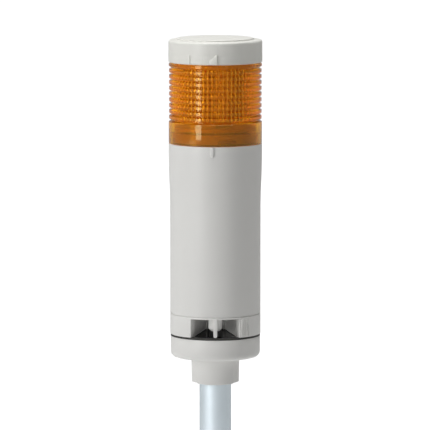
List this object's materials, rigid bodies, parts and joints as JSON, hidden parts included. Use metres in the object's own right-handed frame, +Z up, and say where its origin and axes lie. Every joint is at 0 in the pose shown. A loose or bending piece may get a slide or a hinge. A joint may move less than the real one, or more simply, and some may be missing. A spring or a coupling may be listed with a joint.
{
  "type": "stack light",
  "caption": "Single-tier amber signal tower with a built-in sounder, white cylindrical body and aluminium mounting pole.",
  "frame": {"origin": "centre of the pole's lower end, on the tower's axis", "axes": "+Z up along the pole and tower, -Y the front with the moulded marks, +X the viewer's right from the front"},
  "size_m": [0.056, 0.0565, 0.3172],
  "materials": {
    "white_plastic": "smooth, semi-gloss moulded, very slightly warm off-white",
    "amber_clear": "clear amber moulded plastic, glossy, ribbed outside and fluted inside",
    "aluminium_satin": "satin anodised tube",
    "black_rubber": "moulded, soft, matt",
    "black_gloss": "polished moulded, mirror-like",
    "black_matt": "fine-textured moulded",
    "white_laminate": "glass-fibre board with white solder mask",
    "green_plastic": "plain moulded",
    "orange_plastic": "plain moulded",
    "zinc_steel": "zinc plated, bright",
    "green_laminate": "glass-fibre board with green solder mask",
    "can_aluminium": "drawn cans, bright",
    "contact_brass": "gold-flashed spring brass",
    "led_yellow": "cast resin over a white housing"
  },
  "bodies": {
    "base": {"pole": "aluminium_satin", "base_cap": "white_plastic", "pole_screws": "zinc_steel", "base_screws": "zinc_steel", "base_seal": "black_rubber", "sound_deflector": "black_gloss", "sound_ring": "white_plastic", "sounder": "black_matt", "body_tube": "white_plastic", "main_board": "green_laminate", "capacitors": "can_aluminium", "choke": "black_matt", "control_chips": "black_matt", "terminal_block": "green_plastic", "terminal_levers": "orange_plastic", "socket_board": "green_laminate", "contact_springs": "contact_brass", "lens_seal": "black_rubber"},
    "lens_unit": {"amber_lens": "amber_clear", "module_base": "white_plastic", "contact_pins": "contact_brass", "led_carrier": "white_plastic", "led_strips": "white_laminate", "leds": "led_yellow"},
    "cap": {"top_cap": "white_plastic"}
  },
  "joints": [
    {"name": "lens_twist", "type": "hinge", "parent": "base", "child": "lens_unit", "pos_m": [0, 0, 0.2545], "axis": [0, 0, 1], "range_deg": [0, 35]},
    {"name": "cap_twist", "type": "hinge", "parent": "lens_unit", "child": "cap", "pos_m": [0, 0, 0.303], "axis": [0, 0, 1], "range_deg": [0, 35]}
  ]
}
